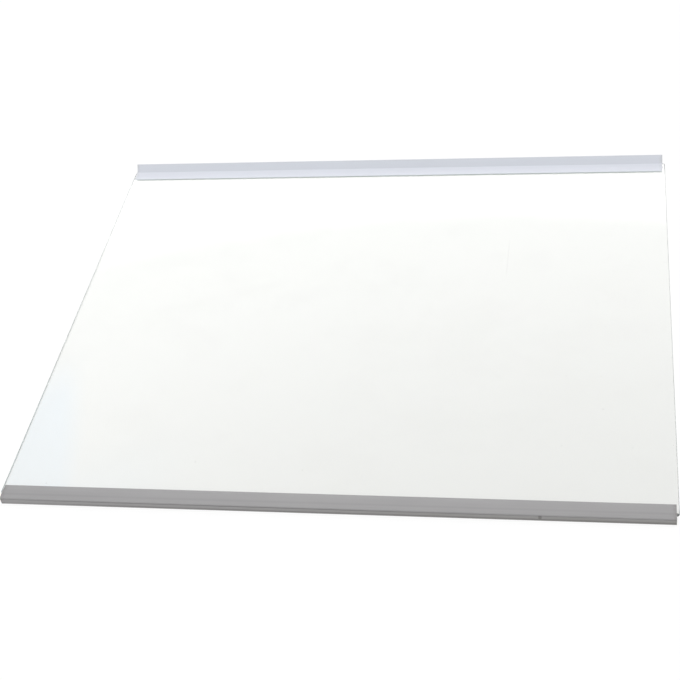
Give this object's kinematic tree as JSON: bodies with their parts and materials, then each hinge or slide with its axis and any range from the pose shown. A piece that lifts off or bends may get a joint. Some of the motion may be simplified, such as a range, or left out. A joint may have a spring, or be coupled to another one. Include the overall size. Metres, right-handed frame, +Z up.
{
  "type": "fridge glass shelf",
  "caption": "Rectangular clear glass refrigerator shelf with a grey edge trim along the front and a pale trim with a raised back lip along the rear.",
  "frame": {"origin": "middle of the shelf's footprint, on the plane that the two trims' undersides stand on", "axes": "+X across the shelf to its right as seen from the front, +Y from the front trim to the rear trim, +Z up out of the glass"},
  "size_m": [0.4754, 0.3986, 0.0117],
  "materials": {
    "glass": "clear polished faces with ground edges",
    "front_trim_plastic": "satin extruded, mid grey",
    "rear_trim_plastic": "satin extruded, pale blue-white"
  },
  "bodies": {
    "root": {"glass_pane": "glass", "front_trim": "front_trim_plastic", "rear_trim": "rear_trim_plastic"}
  },
  "joints": []
}
